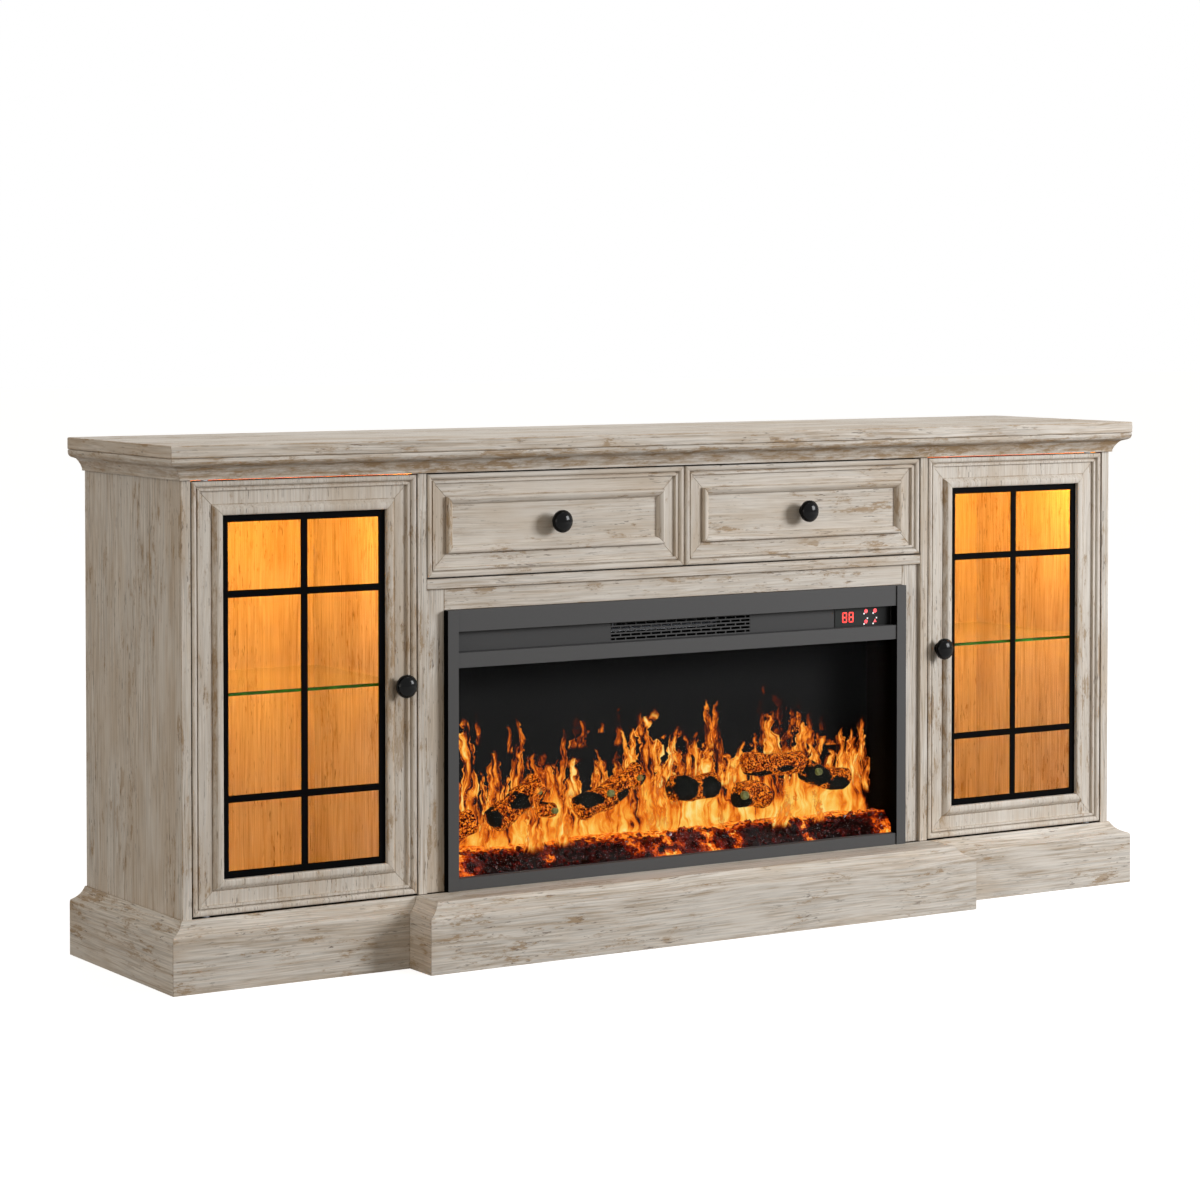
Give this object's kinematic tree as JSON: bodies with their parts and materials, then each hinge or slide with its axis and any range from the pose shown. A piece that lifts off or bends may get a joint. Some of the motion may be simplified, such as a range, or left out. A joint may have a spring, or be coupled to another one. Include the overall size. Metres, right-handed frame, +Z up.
{
  "type": "fireplace tv stand",
  "caption": "Washed wood TV stand with glass doors either side, drawers in the middle and an electric fireplace insert on a plinth that steps forward.",
  "frame": {"origin": "on the floor, in the middle of the width and of the whole depth", "axes": "+X to the right seen from the front, +Y to the back, +Z up; the doors and the fire face -Y"},
  "size_m": [1.778, 0.4326, 0.782],
  "materials": {
    "washed_wood": "whitewashed grey-beige wood grain with brown wear, matt",
    "raw_wood": "plain board, matt",
    "clear_glass": "clear polished sheet",
    "black_metal": "satin black powder coat",
    "charcoal_metal": "matt charcoal powder coat",
    "gloss_black": "gloss black enamel",
    "bare_steel": "zinc plated",
    "display_lens": "dark window with red digits and touch keys",
    "light_lens": "milky warm light cover",
    "charred_resin": "cast resin painted as charred logs with glowing cracks",
    "ember_resin": "dark red and black crystals with glowing lumps",
    "flame_sheet": "dark sheet on which the flames show"
  },
  "bodies": {
    "cabinet": {"back_panel": "raw_wood", "bottom_panel": "washed_wood", "control_panel": "charcoal_metal", "crown_front": "washed_wood", "crown_left": "washed_wood", "crown_right": "washed_wood", "display": "display_lens", "drawer_deck": "washed_wood", "drawer_divider": "raw_wood", "ember_bed": "ember_resin", "fire_glass": "clear_glass", "firebox": "black_metal", "fireplace_header": "washed_wood", "fireplace_stile_left": "washed_wood", "fireplace_stile_right": "washed_wood", "flame_screen": "flame_sheet", "glass_shelf_left": "clear_glass", "glass_shelf_right": "clear_glass", "hinge_pin_left_bottom": "bare_steel", "hinge_pin_left_top": "bare_steel", "hinge_pin_right_bottom": "bare_steel", "hinge_pin_right_top": "bare_steel", "insert_frame": "charcoal_metal", "led_bar_left": "light_lens", "led_bar_right": "light_lens", "log_set": "charred_resin", "partition_left": "washed_wood", "partition_right": "washed_wood", "plinth_centre": "washed_wood", "plinth_front_left": "washed_wood", "plinth_front_right": "washed_wood", "plinth_ledge": "washed_wood", "plinth_return_left": "washed_wood", "plinth_return_right": "washed_wood", "plinth_side_left": "washed_wood", "plinth_side_right": "washed_wood", "runner_left_inner": "bare_steel", "runner_left_outer": "bare_steel", "runner_right_inner": "bare_steel", "runner_right_outer": "bare_steel", "side_panel_left": "washed_wood", "side_panel_right": "washed_wood", "top_panel": "washed_wood", "vent_grille": "charcoal_metal"},
    "left_door": {"left_door_frame": "washed_wood", "left_door_grille": "black_metal", "left_door_glass": "clear_glass", "left_door_knob": "gloss_black"},
    "left_drawer": {"left_drawer_front": "washed_wood", "left_drawer_box": "raw_wood", "left_drawer_knob": "gloss_black"},
    "right_door": {"right_door_frame": "washed_wood", "right_door_grille": "black_metal", "right_door_glass": "clear_glass", "right_door_knob": "gloss_black"},
    "right_drawer": {"right_drawer_front": "washed_wood", "right_drawer_box": "raw_wood", "right_drawer_knob": "gloss_black"},
    "blower_wheel": {"blower_wheel": "bare_steel"},
    "flame_rotor": {"flame_rotor": "bare_steel"}
  },
  "joints": [
    {"name": "left_door_hinge", "type": "hinge", "parent": "cabinet", "child": "left_door", "pos_m": [-0.8205, -0.11575, 0.4], "axis": [0, 0, -1], "range_deg": [0, 100]},
    {"name": "right_door_hinge", "type": "hinge", "parent": "cabinet", "child": "right_door", "pos_m": [0.8205, -0.11575, 0.4], "axis": [0, 0, 1], "range_deg": [0, 100]},
    {"name": "left_drawer_slide", "type": "slide", "parent": "cabinet", "child": "left_drawer", "axis": [0, -1, 0], "range_m": [0, 0.22]},
    {"name": "right_drawer_slide", "type": "slide", "parent": "cabinet", "child": "right_drawer", "axis": [0, -1, 0], "range_m": [0, 0.22]},
    {"name": "blower_spin", "type": "hinge", "parent": "cabinet", "child": "blower_wheel", "pos_m": [0, -0.05115, 0.48515], "axis": [1, 0, 0], "continuous": true},
    {"name": "flame_rotor_spin", "type": "hinge", "parent": "cabinet", "child": "flame_rotor", "pos_m": [0, 0.01185, 0.1463], "axis": [1, 0, 0], "continuous": true}
  ]
}
